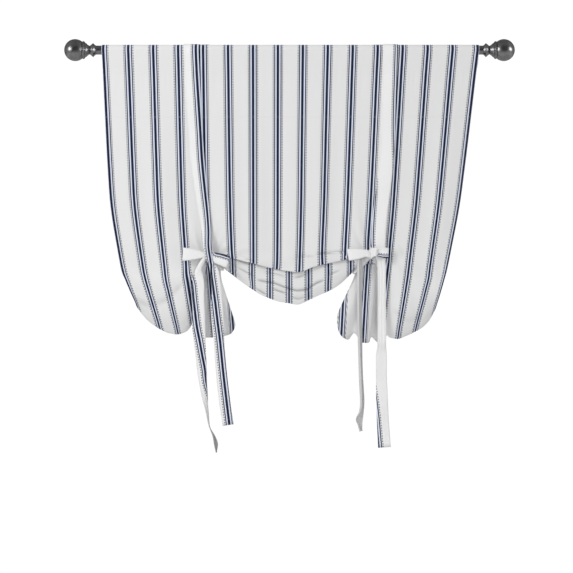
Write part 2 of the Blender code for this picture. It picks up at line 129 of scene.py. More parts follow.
# the four signs from either side, then abs() and the plain words
for word, operation in (("add", "ADD"), ("sub", "SUBTRACT"), ("mul", "MULTIPLY"), ("truediv", "DIVIDE")):
    setattr(Value, f"__{word}__", lambda self, other, kind=operation: self.math(kind, self, other))
    setattr(Value, f"__r{word}__", lambda self, other, kind=operation: self.math(kind, other, self))
for word, operation in (("__abs__", "ABSOLUTE"), ("fraction", "FRACT"), ("sine", "SINE"),
                        ("least", "MINIMUM")):
    setattr(Value, word, lambda self, *other, kind=operation: self.math(kind, self, *other))


def new_material(name, **constants):
    """A Principled material; the constants stand on its own sockets."""
    made = bpy.data.materials.new(name)
    made.use_nodes = True
    tree = made.node_tree
    shader = tree.nodes["Principled BSDF"]
    for key, value in constants.items():
        shader.inputs[key.replace("_", " ")].default_value = value
    return made, tree, shader, Value(tree, None)


print("shader words", [name for name in Value.__dict__ if not name.startswith("_")])

# %% [markdown]
# ## Light and floor
# The cloth is nearly white and lit from all round, with a slightly stronger light from the upper
# left. A white world does most of it, dimmer below than above, so that creases which face down turn
# a little darker. Two wide lamps give the folds a soft side. The metal mirrors a dimmer room and two
# side cards that light nothing else. The floor is pale and lies well under the tie ends.

# %% Light of the room
scene = bpy.context.scene
scene.view_settings.view_transform = "Standard"
world = bpy.data.worlds.new("white_room")
scene.world = world
world.use_nodes = True
sky = world.node_tree.nodes["Background"]
sky.inputs["Color"].default_value = (1, 1, 1, 1)
air = Value(world.node_tree, None)
direction = air.node("ShaderNodeSeparateXYZ",
                     in0=Value(air.tree, air.node("ShaderNodeTexCoord").outputs["Generated"]))
upward = Value(air.tree, direction.outputs[2])
ray = air.node("ShaderNodeLightPath")
from_camera, mirrored = (Value(air.tree, ray.outputs[name]) for name in ("Is Camera Ray", "Is Glossy Ray"))
sideways = abs(Value(air.tree, direction.outputs[0]))
BACKDROP = 1.02                         # brightness that the camera sees behind the curtain
MIRROR_REST, MIRROR_SIDES, MIRROR_BELOW, MIRROR_ABOVE = 0.07, 0.3, 0.85, 0.2
ROOM_BELOW, ROOM_RISE, ROOM_CEILING = 0.43, 0.25, 0.2
mirror = (MIRROR_REST + sideways.between(0.35, 0.95) * MIRROR_SIDES
          + upward.between(-0.05, -0.85) * MIRROR_BELOW + upward.between(0.2, 0.95) * MIRROR_ABOVE)
room = ROOM_BELOW + upward.between(-0.7, 0.4) * ROOM_RISE - upward.between(0.5, 1.0) * ROOM_CEILING
room = room + mirrored * (mirror - room)
world.node_tree.links.new((room + from_camera * (BACKDROP - room)).socket, sky.inputs["Strength"])
print("nodes of the white room", len(world.node_tree.nodes))


# %% Lamps
def area_lamp(name, place, aim, size, power, for_metal=False):
    lamp = bpy.data.lights.new(name, "AREA")
    lamp.shape, lamp.size, lamp.energy = "DISK", size, power
    holder = bpy.data.objects.new(name, lamp)
    holder.location = place
    holder.rotation_euler = (Vector(aim) - Vector(place)).to_track_quat("-Z", "Y").to_euler()
    holder.visible_glossy, holder.visible_diffuse = for_metal, not for_metal
    scene.collection.objects.link(holder)


# name, place, aim, width in metres and power in watts
area_lamp("key_lamp", (-2.5, -2.2, 1.2), (-0.2, 0, -0.5), 1.2, 44)
area_lamp("front_lamp", (0.4, -4.4, -0.3), (0, 0, -0.6), 1.8, 34)
area_lamp("left_card", (-4.0, -2.3, 0.6), (0, 0, 0), 2.0, 80, for_metal=True)
area_lamp("right_card", (4.0, -1.3, 0.35), (0, 0, 0), 1.7, 55, for_metal=True)

# %% Floor
FLOOR_RADIUS, FLOOR_Z = 3.0, -2.0
floor_mesh = bpy.data.meshes.new("floor")
floor_form = bmesh.new()
bmesh.ops.create_circle(floor_form, cap_ends=True, radius=FLOOR_RADIUS, segments=96)
bmesh.ops.translate(floor_form, verts=floor_form.verts, vec=(0, 0, FLOOR_Z))
floor_form.to_mesh(floor_mesh)
floor_form.free()
floor = bpy.data.objects.new("floor", floor_mesh)
scene.collection.objects.link(floor)
print("floor at", FLOOR_Z)

# %% [markdown]
# ## Striped cotton
# The cloth is a ticking: a broad navy line, a thin line on each side of it, and a ladder of short
# dashes outside those, woven into off-white cotton. Each sheet carries its own cloth coordinates:
# U counts stripes across the loom and V is metres along it, so the print bends with every fold.

# %% Measures of the stripe
PANEL_WIDTH = 1.067
PITCH = PANEL_WIDTH / 15.14             # one stripe to the next
COTTON = (0.785, 0.785, 0.788)
NAVY = (0.004, 0.009, 0.04)
PALE_BLUE = (0.71, 0.765, 0.94)
# millimetres from the stripe's middle: where each line lies, and where its edge fades out and in
BROAD_EDGE, TINT_EDGE = (3.9, 3.4), (12.0, 9.5)
THIN_PLACE, THIN_EDGE = 9.0, (1.75, 1.35)
LADDER_PLACE, LADDER_EDGE = 13.2, (1.6, 1.1)
DASH_STEP, THREAD_STEP = 0.0074, 0.0009     # metres from one dash or thread to the next
print("stripe pitch in millimetres", round(PITCH / MM, 1))


# %% Striped cotton
def cloth_coordinates(word):
    """Stripe count and metres along the cloth, from the piece's own cloth map."""
    layer = word.node("ShaderNodeUVMap", {"uv_map": "cloth"})
    split = word.node("ShaderNodeSeparateXYZ", in0=Value(word.tree, layer.outputs[0]))
    return Value(word.tree, split.outputs[0]), Value(word.tree, split.outputs[1])


def ticking(name, cotton=COTTON):
    made, tree, shader, word = new_material(name, Specular_IOR_Level=0.25, Sheen_Weight=0.12,
                                            Sheen_Roughness=0.6)
    count, along = cloth_coordinates(word)
    across = ((count + 0.5).fraction() - 0.5) * (PITCH / MM)     # millimetres from the stripe
    away = abs(across)
    broad = away.between(*BROAD_EDGE)
    thin = abs(away - THIN_PLACE).between(*THIN_EDGE)
    dash = abs((along / DASH_STEP).fraction() - 0.5).between(0.20, 0.26)
    ladder = abs(away - LADDER_PLACE).between(*LADDER_EDGE) * dash
    tint = away.between(*TINT_EDGE) * 0.75
    ink = (broad + thin + ladder * 0.9).least(1.0)

    # plain weave: crossing threads, finer than a pixel of the picture, and a few thicker slubs;
    # the point value "crease" darkens pressed creases and a tie's wrong side
    # the point value "crease" is painted shade, which darkens the colour along creases and down the ties'
    # ends
    weft = (along * (2 * math.pi / THREAD_STEP)).sine()
    warp = (across * (2 * math.pi / (THREAD_STEP / MM))).sine()
    threads = weft * warp
    place = word.node("ShaderNodeCombineXYZ", in0=across * 0.05, in1=along * 9.0, in2=0.0)
    slub = word.node("ShaderNodeTexNoise", {"noise_dimensions": "2D"},
                     Vector=Value(tree, place.outputs[0]), Scale=14.0, Detail=3.0, Roughness=0.6)
    slub = Value(tree, slub.outputs[0])
    painted_crease_shade = word.node("ShaderNodeAttribute", {"attribute_name": "crease"})
    painted_crease_shade = Value(tree, painted_crease_shade.outputs["Fac"])
    shade = 1.0 + (slub - 0.5) * 0.05 + threads * 0.012 - painted_crease_shade * 0.5
    base = tint.blend(cotton, PALE_BLUE)
    base = ink.blend(base, NAVY)
    toned = word.node("ShaderNodeVectorMath", {"operation": "SCALE"}, in0=base, Scale=shade)
    tree.links.new(toned.outputs[0], shader.inputs["Base Color"])
    rough = 0.86 + (slub - 0.5) * 0.12 - ink * 0.05
    tree.links.new(rough.socket, shader.inputs["Roughness"])
    height = threads * 0.5 + slub * 0.8
    bump = word.node("ShaderNodeBump", Strength=0.28, Distance=0.0006, Height=height)
    tree.links.new(bump.outputs[0], shader.inputs["Normal"])
    return made


striped_cotton = ticking("striped_cotton")
print("nodes of the striped cotton", len(striped_cotton.node_tree.nodes))

# %% [markdown]
# ## The drawn-up form
# The panel is one flat length of cloth that leaves the rod, comes down the front, folds under at the
# ties and climbs up behind. Hung flat it would be simple; tied up, every column of it takes a path
# of its own. So the form is a table: for some stripe numbers, where the cloth folds at the bottom of
# the front, where it turns below, and where its hem ends behind. A smooth curve runs between them.

# %% Measures of the cloth
STRIPE_EDGES = (-0.07, 15.07)           # the cloth's edges, counted in stripes from the first one
FIRST_STRIPE_X = 0.0025 - PANEL_WIDTH / 2 + 0.07 * PITCH
POCKET_RADIUS = 0.0146
CLOTH = 0.8 * MM
SEAM_Z = -82                            # the flap's edge below the rod, in millimetres
LEVEL_Z = -566                          # height at which the stations of LEVEL are measured
# (stripe, x) for LEVEL and (stripe, x, z) for the rest, in millimetres
LEVEL = ((-0.07, -487), (1, -423), (2, -359), (3, -294.5), (4, -232), (5, -163), (6, -102), (7, -34),
         (8, 30), (9, 92), (10, 157), (11, 220), (12, 282), (13, 343), (14, 403), (15.07, 457))
print("cloth thickness in millimetres", CLOTH / MM)

# %% Folds at the front
UPPER_FOLD = ((-0.07, -473, -628), (1, -407, -645), (2, -348, -651), (2.6, -315, -645),
              (3, -291, -631), (3.4, -264, -608), (3.7, -245, -583), (4, -232, -572),
              (4.5, -198, -579), (5, -161, -589), (6, -102, -604), (7, -36, -620), (8, 27, -628),
              (8.6, 66, -614), (9, 93, -607), (10, 156, -593), (10.5, 188, -583), (11, 221, -573),
              (11.5, 249, -572), (11.9, 276, -589), (12.3, 294, -617), (13, 333, -642),
              (14, 392, -645), (15.07, 443, -628))
LOWER_FOLD = ((-0.07, -430, -727), (0.35, -406, -758), (0.7, -383, -778), (1.05, -362, -791),
              (1.4, -342, -800), (1.9, -318, -804), (2.5, -294, -797), (2.8, -281, -784),
              (3, -271, -758), (3.2, -260, -719), (3.4, -250, -674), (3.6, -242, -637),
              (3.8, -236, -611), (4, -231, -601), (4.6, -180, -616), (5, -154, -637),
              (5.5, -132, -657), (6, -106, -676), (6.5, -81, -692), (7, -55, -703),
              (7.5, -28, -712), (8, -1, -716), (8.45, 22, -720), (9, 54, -707), (9.5, 82, -694),
              (10, 110, -682), (10.5, 139, -665), (11, 168, -636), (11.25, 190, -610),
              (11.5, 241, -601), (11.6, 245, -606), (11.75, 253, -642), (11.9, 259, -699),
              (12.05, 265, -756), (12.2, 270, -795), (12.5, 285, -813), (13, 305, -817),
              (13.5, 329, -809), (14, 354, -797), (14.4, 372, -787), (14.7, 392, -768),
              (15.07, 412, -733))
print("stations of the front folds", len(UPPER_FOLD) + len(LOWER_FOLD))

# %% Folds behind and the hem
BACK_START = ((-0.07, -432, -679), (1, -366, -741), (2, -313, -758), (2.6, -290, -747),
              (3, -267, -702), (3.4, -246, -640), (3.8, -233, -606), (4, -231, -610),
              (4.5, -219, -604), (5.05, -212, -599), (5.3, -207, -600), (5.45, -204, -600),
              (5.6, -201, -601), (5.75, -192, -605), (6, -132, -623),
              (6.5, -83, -654), (7.5, -27, -676), (8.5, 27, -682), (9.3, 72, -668),
              (10, 120, -642), (10.25, 150, -622), (10.38, 180, -610), (10.5, 196, -603),
              (10.65, 203, -601), (10.8, 208, -600), (10.92, 212, -600), (11.3, 228, -603),
              (11.5, 239, -611), (11.8, 250, -611), (12.1, 267, -679), (12.4, 282, -741),
              (12.8, 293, -775), (13.5, 324, -770), (14.3, 369, -747), (15.07, 417, -693))
HEM = ((-0.07, -449, -566), (1, -395, -566), (1.8, -344, -577), (2.3, -316, -606),
       (2.6, -299, -645), (2.9, -282, -702), (3.15, -267, -758), (3.4, -256, -798),
       (3.9, -231, -814), (4.4, -194, -811), (4.8, -168, -804), (5.05, -154, -778),
       (5.3, -173, -722), (5.45, -187, -686), (5.6, -193, -650), (5.75, -196, -620),
       (6, -171, -572),
       (6.4, -117, -541), (7.5, -24, -524), (8.5, 38, -521), (9.3, 89, -529), (10, 137, -552),
       (10.25, 172, -572), (10.38, 194, -604), (10.5, 187, -630), (10.65, 175, -662),
       (10.8, 152, -711), (10.92, 134, -760), (11.05, 140, -798), (11.2, 154, -815), (11.3, 166, -820),
       (11.45, 183, -801), (11.65, 205, -828), (11.8, 224, -829), (11.9, 231, -812),
       (12.2, 252, -828), (12.5, 273, -815), (12.8, 284, -770), (13.1, 301, -708),
       (13.4, 321, -645), (13.8, 350, -606), (14.3, 381, -583), (15.07, 426, -572))
print("stations behind and at the hem", len(BACK_START) + len(HEM))

# %% Depths
# depths in millimetres at each control point below the seam: on the sides, at the knots, on the swag
DEPTHS = {
    "chest": (-9, -9, -9),
    "waist": (-11, -10, -11),
    "above": (-18, -11, -17),
    "fold": (-27, -10, -16),
    "tuck_up": (-31, -9, -12),
    "tuck_top": (-31, -8, -7.5),
    "tuck_down": (-28, -6, -3),
    "band": (-18, -3, -9),
    "turn": (0, 1, 2),
    "behind": (17, 4, 6.5),
    "turned": (21, 9, 11),
    "back": (23, 10, 13),
    "hem": (18, 6, 13),
}
TUCK = 46                               # height of the hidden tuck behind the swag's upper fold
print("control points with a depth", len(DEPTHS))

# %% [markdown]
# ## Reading the tables
# Each table is read by a curve that never overshoots its stations, so a fold keeps its place between
# two of them. All columns are read at once as arrays, which keeps a fine grid quick.

# %% Curves through stations
def stations(table):
    data = np.array(table, float)
    keys, values = data[:, 0], data[:, 1:]
    slope = np.diff(values, axis=0) / np.diff(keys)[:, None]
    tangent = np.zeros_like(values)
    left, right = slope[:-1], slope[1:]
    same = left * right > 0
    tangent[1:-1] = np.where(same, 2 * left * right / np.where(same, left + right, 1), 0)
    tangent[0], tangent[-1] = slope[0], slope[-1]

    def read(key):
        key = np.clip(np.atleast_1d(np.asarray(key, float)), keys[0], keys[-1])
        i = np.clip(np.searchsorted(keys, key, side="right") - 1, 0, len(keys) - 2)
        h = (keys[i + 1] - keys[i])[:, None]
        t = (key - keys[i])[:, None] / h
        return ((1 + 2 * t) * (1 - t) ** 2 * values[i] + t * (1 - t) ** 2 * h * tangent[i]
                + t * t * (3 - 2 * t) * values[i + 1] + t * t * (t - 1) * h * tangent[i + 1])
    return read


def smooth_path(points, t):
    """Points at t, counted in spans, on a smooth curve through points along the first axis."""
    last = len(points) - 1
    t = np.atleast_1d(np.asarray(t, float))
    i = np.clip(t.astype(int), 0, last - 1)
    u = (t - i).reshape((-1,) + (1,) * (points.ndim - 1))
    padded = np.concatenate([[2 * points[0] - points[1]], points, [2 * points[-1] - points[-2]]])
    p0, p1, p2, p3 = padded[i], padded[i + 1], padded[i + 2], padded[i + 3]
    return 0.5 * (2 * p1 + (p2 - p0) * u + (2 * p0 - 5 * p1 + 4 * p2 - p3) * u * u
                  + (3 * p1 - p0 - 3 * p2 + p3) * u ** 3)


read_level, read_upper = stations(LEVEL), stations(UPPER_FOLD)
read_lower, read_behind, read_hem = stations(LOWER_FOLD), stations(BACK_START), stations(HEM)
print("upper fold in the middle", read_upper(7.5).round(1))

# %% [markdown]
# ## One column of cloth
# A column is the line that one thread of the warp takes from the rod to the hem. Near a knot it is
# gathered in; in the swag it tucks up behind the lower band; at the sides it balloons.

# %% Where a column runs
def top_x(stripe):
    return 1000 * (FIRST_STRIPE_X + PITCH * stripe)


def column_x(stripe, z):
    t = z / LEVEL_Z
    early = 0.6 + 0.25 * ramp(stripe, 4, 10)
    drift = early * t + (1 - early) * np.maximum(t, 0) ** 6
    return mix(top_x(stripe), read_level(stripe)[:, 0], drift)


print("first column at the rod and at the knots", round(top_x(0), 1), column_x(0, LEVEL_Z).round(1))


# %% Stretches of stripes
def stretch(value, start, full, end, gone):
    """1 from full to end, 0 outside start and gone, smooth between."""
    return ramp(value, start, full) * (1 - ramp(value, end, gone))


def shares(stripe):
    swag = stretch(stripe, 4.2, 5.3, 10.2, 11.3)
    side = (1 - ramp(stripe, 2.7, 3.8)) + ramp(stripe, 11.75, 12.8)
    return side, swag


# stripe numbers at the left and the right knot: the fan below it, the gathered cloth, the swung hem
FAN = ((3.1, 3.7, 5.1, 5.6), (10.4, 10.9, 12.2, 12.9))
GATHERED = ((2.8, 3.6, 5.6, 6.2), (9.9, 10.4, 12.1, 12.9))
HEM_SWING = ((2.4, 2.9, 3.25, 3.8), (11.9, 12.3, 12.8, 13.3))


def at_knots(stripe, left_and_right):
    return sum(stretch(stripe, *numbers) for numbers in left_and_right)


print("side and swag in the middle", shares(7.5))


# %% Columns of cloth
def column_controls(stripe):
    """Control points in millimetres, as an array (17 controls, columns, xyz)."""
    stripe = np.atleast_1d(np.asarray(stripe, float))
    side, swag = shares(stripe)
    wave = 1.6 * np.sin(stripe * 2.1) + 1.2 * np.sin(stripe * 4.7 + 1)
    upper, lower = read_upper(stripe), read_lower(stripe)
    behind, hem = read_behind(stripe), read_hem(stripe)
    points = []

    def add(x, z, name, extra=0.0):
        at_side, at_knot, at_swag = DEPTHS[name]
        y = at_side * side + at_swag * swag + at_knot * (1 - side - swag) + extra
        points.append(np.stack(np.broadcast_arrays(x, y, z), axis=-1))

    leaves = math.radians(20)           # the cloth leaves the rod this far below its front
    front, low = math.cos(leaves), math.sin(leaves)
    for x, y, z in ((top_x(stripe), -1000 * POCKET_RADIUS * front, -1000 * POCKET_RADIUS * low),
                    (column_x(stripe, -45), -11.6, -45), (column_x(stripe, SEAM_Z), -8.8, SEAM_Z)):
        points.append(np.stack(np.broadcast_arrays(x, y, float(z)), axis=-1))
    for z, name, share in ((-190, "chest", 0.5), (-330, "chest", 1.0), (-450, "waist", 1.4)):
        add(column_x(stripe, z), float(z), name, wave * share)
    above = upper[:, 1] + 42
    level = read_level(stripe)[:, 0]
    under = mix(level, upper[:, 0], (above - LEVEL_Z) / (upper[:, 1] - LEVEL_Z))
    add(np.where(above > LEVEL_Z, column_x(stripe, above), under), above, "above", wave)
    add(upper[:, 0], upper[:, 1], "fold", wave)
    for name, part, shift, lift in (("tuck_up", 0.20, 0.1, TUCK * 0.8), ("tuck_top", 0.40, 0.5, TUCK),
                                    ("tuck_down", 0.60, 0.95, TUCK * 0.6)):
        along = mix(upper, lower, part)
        tucked = np.stack([mix(upper[:, 0], lower[:, 0], shift), upper[:, 1] + lift], axis=-1)
        spot = mix(along, tucked, swag[:, None])
        add(spot[:, 0], spot[:, 1], name, wave * swag)
    along = mix(upper, lower, mix(0.82, 0.5, swag)[:, None])
    add(mix(along[:, 0], lower[:, 0], swag), along[:, 1], "band")
    add(lower[:, 0], lower[:, 1], "turn")
    add(behind[:, 0], behind[:, 1], "behind")
    flute = at_knots(stripe, FAN) * np.sin(2 * math.pi * (stripe - 0.1) / 0.62)
    swing = at_knots(stripe, HEM_SWING)
    part = 0.25 * (1 - np.minimum(1, swing + at_knots(stripe, GATHERED))) + 0.03
    after = mix(behind, hem, part[:, None])
    add(after[:, 0], after[:, 1], "turned", 3 * swing)
    middle = mix(behind, hem, 0.5)
    add(middle[:, 0], middle[:, 1], "back", 3.5 * flute + 7 * swing)
    add(hem[:, 0], hem[:, 1], "hem", 7 * flute * (1 - swing) + 12 * swing)
    return np.array(points)


print("controls of one column", column_controls(3.0).shape)

# %% [markdown]
# ## Small folds
# The long forms alone would look like sheet metal. Real cotton puckers under the pocket's seam,
# draws into fine pleats where a tie bunches it, and sags in shallow curved creases across the swag.
# These are added as small moves towards the front or the back, a millimetre or two at most.

# %% Lines of creases
LEFT_KNOT, RIGHT_KNOT = (-234, -580), (236, -574)       # (x, z) in millimetres
# creases as lines of (x, z) in millimetres, each with its strength; on the band, then on the front;
# each both dents the cloth and darkens its colour along the line, as painted shade
BAND_CREASES = (
    (1.0, ((-92, -651), (-42, -660), (-16, -670), (1, -676), (21, -681), (46, -679), (61, -670),
           (76, -660), (99, -651))),
    (0.9, ((-50, -675), (-30, -682), (-7, -689))), (0.9, ((13, -644), (30, -641), (47, -635))),
    (0.8, ((-96, -675), (-78, -685), (-61, -694))), (0.7, ((-151, -593), (-132, -600), (-106, -606))),
    (0.7, ((-146, -616), (-123, -628), (-95, -642))), (0.6, ((109, -637), (126, -630), (143, -623))),
    (0.6, ((4, -699), (24, -705), (44, -700))), (0.5, ((-10, -641), (-40, -633), (-70, -628))))
FRONT_CREASES = ((0.9, ((75, -577), (103, -575), (137, -573), (160, -569))),
                 (0.4, ((-150, -585), (-120, -592), (-90, -600))),
                 (0.4, ((10, -590), (40, -584), (70, -583))))
# wide, shallow dips beside the bows, as (x, z): a slight dent and a soft patch of painted shade
SIDE_DIPS_AND_SHADES = ((0.27, ((-450, -700), (-395, -722), (-352, -708), (-296, -656))),
             (0.18, ((265, -574), (300, -577), (345, -566))),
             (0.17, ((290, -735), (335, -765), (380, -750))))
# creases down the fans, as (z, x), also dented and darkened with painted shade
FAN_CREASES = ((0.3, ((-600, 189.5), (-700, 189), (-795, 190))),
               (0.3, ((-595, 238), (-640, 244), (-700, 245), (-800, 244))),
               (0.25, ((-650, 214), (-740, 220), (-830, 226))), (0.2, ((-700, -186), (-830, -172))))
print("creases", len(BAND_CREASES + FRONT_CREASES + SIDE_DIPS_AND_SHADES + FAN_CREASES))


# %% Depth of a crease
def crease_lines(span, x, z, width):
    """How far into a crease each point lies, from 0 to 1; a crease fades out at its two ends."""
    deep = np.zeros_like(x)
    for lines, rows, run, off, wide, before, fade in (
            (FAN_CREASES, span > 12.2, z, x, 1, 15, 25),
            (BAND_CREASES, (span > 10.3) & (span < 12.1), x, z, 1, 6, 14),
            (FRONT_CREASES, span < 7, x, z, 1, 6, 14),
            (SIDE_DIPS_AND_SHADES, span < 12.1, x, z, 3, 6, 14)):
        for strength, line in lines:
            line = np.array(sorted(line), float)
            first, last = line[0, 0], line[-1, 0]
            near = np.exp(-((off - np.interp(run, line[:, 0], line[:, 1])) / width / wide) ** 2)
            ends = ramp(run, first - before, first + fade) * ramp(run, last + 6, last - fade)
            deep = np.maximum(deep, strength * near * ends * rows)
    return deep


print("depth on and beside a crease", crease_lines(np.array([11, 11]), np.array([1, 1]),
                                                   np.array([-676.0, -670]), 3.0).round(2))


# %% Small folds
def small_folds(stripe, span, x, z):
    """Depth to add in millimetres, for arrays of stripe number, span down the column and place."""
    moved = 4.5 * crease_lines(span, x, z, 4.5)
    # puckers under the flap's edge
    seam = np.exp(-((z - SEAM_Z) / 26.0) ** 2)
    moved += 0.45 * seam * np.sin(stripe * 23.0 + 2.0 * np.sin(stripe * 5.1)) * (span < 4)
    # fine pleats that run out from each knot
    for knot_x, knot_z in (LEFT_KNOT, RIGHT_KNOT):
        dx, dz = x - knot_x, z - knot_z
        reach = np.hypot(dx, dz)
        turn = np.arctan2(dx, np.abs(dz) + 30)
        near = ramp(reach, 190, 40) * ramp(reach, 8, 34) * (span < 7.2)
        moved += 1.5 * near * np.sin(turn * 21 + 0.8 * np.sin(reach / 23)) * ramp(dz, -40, 20)
    # shallow ripples across the swag, then waves on the ballooning sides
    side, swag = shares(stripe)
    bow = z + 0.0009 * (x - 4) ** 2
    ripple = swag * ramp(span, 5.0, 6.4) * (span < 7.2)
    moved += 1.5 * ripple * np.sin((bow + 628) / 9.0 + np.sin(stripe * 1.3))
    cheek = side * ramp(span, 5.2, 6.6) * ramp(span, 12.2, 9.5)
    moved += 1.8 * cheek * np.sin(z / 17.0 + stripe * 2.6) * np.sin(stripe * 3.9 + 0.6)
    return moved


print("a move near the left knot", small_folds(np.array([4.0]), np.array([6.0]), np.array([-240.0]),
                                             np.array([-500.0])).round(2))

# %% [markdown]
# ## The panel
# One grid carries the whole cloth: its columns follow the stripes and its rows run from the pocket's
# flap, over the rod, down the front and up the back to the hem. A Solidify modifier gives it the
# thickness of a light cotton. Doubling the rows where the cloth turns keeps the folds round.

# %% Rows of the panel
# rows between two control points: from, to and how many
ROWS = ((1, 2, 6), (2, 3, 7), (3, 6, 20), (6, 7, 14), (7, 8, 9), (8, 10, 14), (10, 11, 26),
        (11, 12, 26), (12, 13, 12), (13, 14, 6), (14, 16, 14))


def row_spans():
    spans = [start + (end - start) * k / count for start, end, count in ROWS for k in range(count)]
    return np.array(spans + [16.0])


print("rows below the pocket", len(row_spans()))


# %% The panel's grid
def pocket_path():
    """(y, z) in millimetres from the flap's edge behind the seam, up and over the rod."""
    corner = [(-7.3, SEAM_Z), (5.0, -46.0)]
    for i in range(7):
        angle = math.radians(-20 + 220 * i / 6)
        corner.append((1000 * POCKET_RADIUS * math.cos(angle), 1000 * POCKET_RADIUS * math.sin(angle)))
    return smooth_path(np.array(corner), np.arange(0, 8, 0.4))


def cloth_grid(columns):
    """Places in metres (rows, columns, xyz) and spans of the rows; the pocket's rows come first."""
    spans = row_spans()
    lower = smooth_path(column_controls(columns), spans)
    stripe, span = np.meshgrid(columns, spans)
    lower[:, :, 1] += small_folds(stripe, span, lower[:, :, 0], lower[:, :, 2])
    path = pocket_path()
    pocket = np.zeros((len(path), len(columns), 3))
    blend = ramp(-path[:, 1], 20, -SEAM_Z)[:, None]
    pocket[:, :, 0] = mix(top_x(columns)[None, :], column_x(columns, SEAM_Z)[None, :], blend)
    pocket[:, :, 1] = path[:, 0][:, None]
    pocket[:, :, 2] = path[:, 1][:, None]
    pocket[:, :, 1] += 0.35 * blend * np.sin(columns * 23.0 + 2.0 * np.sin(columns * 5.1))[None, :]
    spots = np.concatenate([pocket, lower]) * MM
    return spots, np.concatenate([np.full(len(pocket), -1.0), spans])


print("rows round the rod", len(pocket_path()))


# %% Meshes and pieces
def grid_mesh(name, spots, across, along):
    """A mesh of quads over a grid of places, with its cloth map; across and along are per point."""
    rows, count = spots.shape[:2]
    mesh = bpy.data.meshes.new(name)
    index = np.arange(rows * count).reshape(rows, count)
    quads = np.stack([index[:-1, :-1], index[1:, :-1], index[1:, 1:], index[:-1, 1:]], axis=-1)
    mesh.from_pydata(spots.reshape(-1, 3).tolist(), [], quads.reshape(-1, 4).tolist())
    layer = mesh.uv_layers.new(name="cloth")
    corners = quads.reshape(-1)
    pairs = np.stack([across.reshape(-1)[corners], along.reshape(-1)[corners]], axis=-1)
    layer.data.foreach_set("uv", pairs.astype(np.float32).reshape(-1))
    mesh.polygons.foreach_set("use_smooth", [True] * len(mesh.polygons))
    mesh.update()
    return mesh


def add_piece(name, mesh, slot, *materials):
    made = bpy.data.objects.new(name, mesh)
    for item in materials:
        mesh.materials.append(item)
    bpy.context.scene.collection.objects.link(made)
    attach(made, "root")
    return made


def thicken(piece, thickness=CLOTH):
    shell = piece.modifiers.new("cloth_thickness", "SOLIDIFY")
    shell.thickness, shell.offset = thickness, 0


print("thickness of a piece of cloth", CLOTH)


# %% Where the print lies
def print_across(spots, spans, columns):
    """The stripe count of each point; where the cloth fans out below a knot, the fresh cloth that
    comes round its edges keeps the loom's pitch, so the count there goes by width, not by column."""
    count = np.broadcast_to(columns, spots.shape[:2]).copy()
    x, z = spots[:, :, 0] / MM, spots[:, :, 2] / MM
    below = ramp(spans, 12.0, 12.7)[:, None]
    band = (ramp(spans, 9.2, 9.7) * ramp(spans, 12.6, 12.1))[:, None]
    # rows and stripes that take the fresh count, x and number of one stripe there, its lean, its pitch
    for rows, start, full, end, gone, stripe_x, number, lean, pitch in (
            (below, 3.1, 3.45, 5.5, 5.75, -221.5, 4, -0.085, 54.5),
            (band, 4.0, 4.25, 5.15, 5.5, -158, 5, -0.03, 54),
            (below, 10.3, 10.5, 12.0, 12.4, 215, 12, 0.06, 62),
            (band, 10.2, 10.5, 11.2, 11.35, 173, 11, 0.0, 56),
            (band, 11.2, 11.35, 11.6, 11.75, 217, 12, 0.06, 62)):
        share = rows * stretch(columns, start, full, end, gone)[None, :]
        plumb = number + (x - lean * (z + 700) - stripe_x) / pitch
        count = mix(count, plumb, share)
    return count


def down_the_cloth(spots):
    """Metres along each column from the top row."""
    steps = np.linalg.norm(np.diff(spots, axis=0), axis=-1)
    return np.concatenate([np.zeros((1, spots.shape[1])), np.cumsum(steps, axis=0)])


print("a metre of cloth measures", down_the_cloth(np.array([[[0, 0, 0]], [[0, 0, -1]]]))[-1, 0])

# %% Making the panel
edge_in = np.array([0, 0.03])
wide, close = 0.07, 0.048               # stripes between columns, closer where the cloth gathers
columns = np.concatenate([STRIPE_EDGES[0] + edge_in, np.arange(0, 2.4, wide), np.arange(2.4, 6.0, close),
                          np.arange(6.0, 10.0, wide), np.arange(10.0, 13.0, close),
                          np.arange(13.0, 15.01, wide), STRIPE_EDGES[1] - edge_in[::-1]])
panel_spots, panel_spans = cloth_grid(columns)
along = down_the_cloth(panel_spots)
panel_print = print_across(panel_spots, panel_spans, columns)
panel_mesh = grid_mesh("panel_cloth", panel_spots, panel_print, along)
# painted shade: the creases' depth, stored on each point as "crease", darkens the cloth's colour
panel_crease_shade = crease_lines(panel_spans[:, None], panel_spots[:, :, 0] / MM, panel_spots[:, :, 2] / MM, 3.0)
panel_crease_shade_layer = panel_mesh.attributes.new("crease", "FLOAT", "POINT")
panel_crease_shade_layer.data.foreach_set("value", panel_crease_shade.astype(np.float32).reshape(-1))
panel = add_piece("panel_cloth", panel_mesh, "striped_cotton", striped_cotton)
thicken(panel)
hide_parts("curtain_panel")
print("panel points", len(panel_mesh.vertices), "longest column", round(float(along[-1].max()), 3),
      "middle", round(float(np.median(along[-1])), 3))

# %% [markdown]
# ## The ties
# Each tie is a strip of the same cloth, cut lengthwise so that one stripe runs along it. The front
# one hangs over the pocket, lies flat on the panel and narrows where it is drawn into the knot; the
# back one comes under the gathered cloth and makes the two loops of the bow. A strip is swept along
# stops that say where it is, how wide it is there and how far it is twisted. Further numbers say
# where the stripe lies across it and how far its print is squeezed, because a folded tie shows only
# a part of its print. The last two roll the edges back and darken the cloth with painted shade where
# it lies in shadow. The last two roll the edges back and grey the cloth where its wrong side shows.

# %% Sides of a strip
TIE_WIDTH = 0.040                       # cut width of a tie
EDGE_TURN = 1.6                         # millimetres that a tie's edges curl
STEPS_PER_STOP = 7
STITCH_LIFT = CLOTH / 2 + 0.0001        # metres from the middle of the cloth to a line of stitches


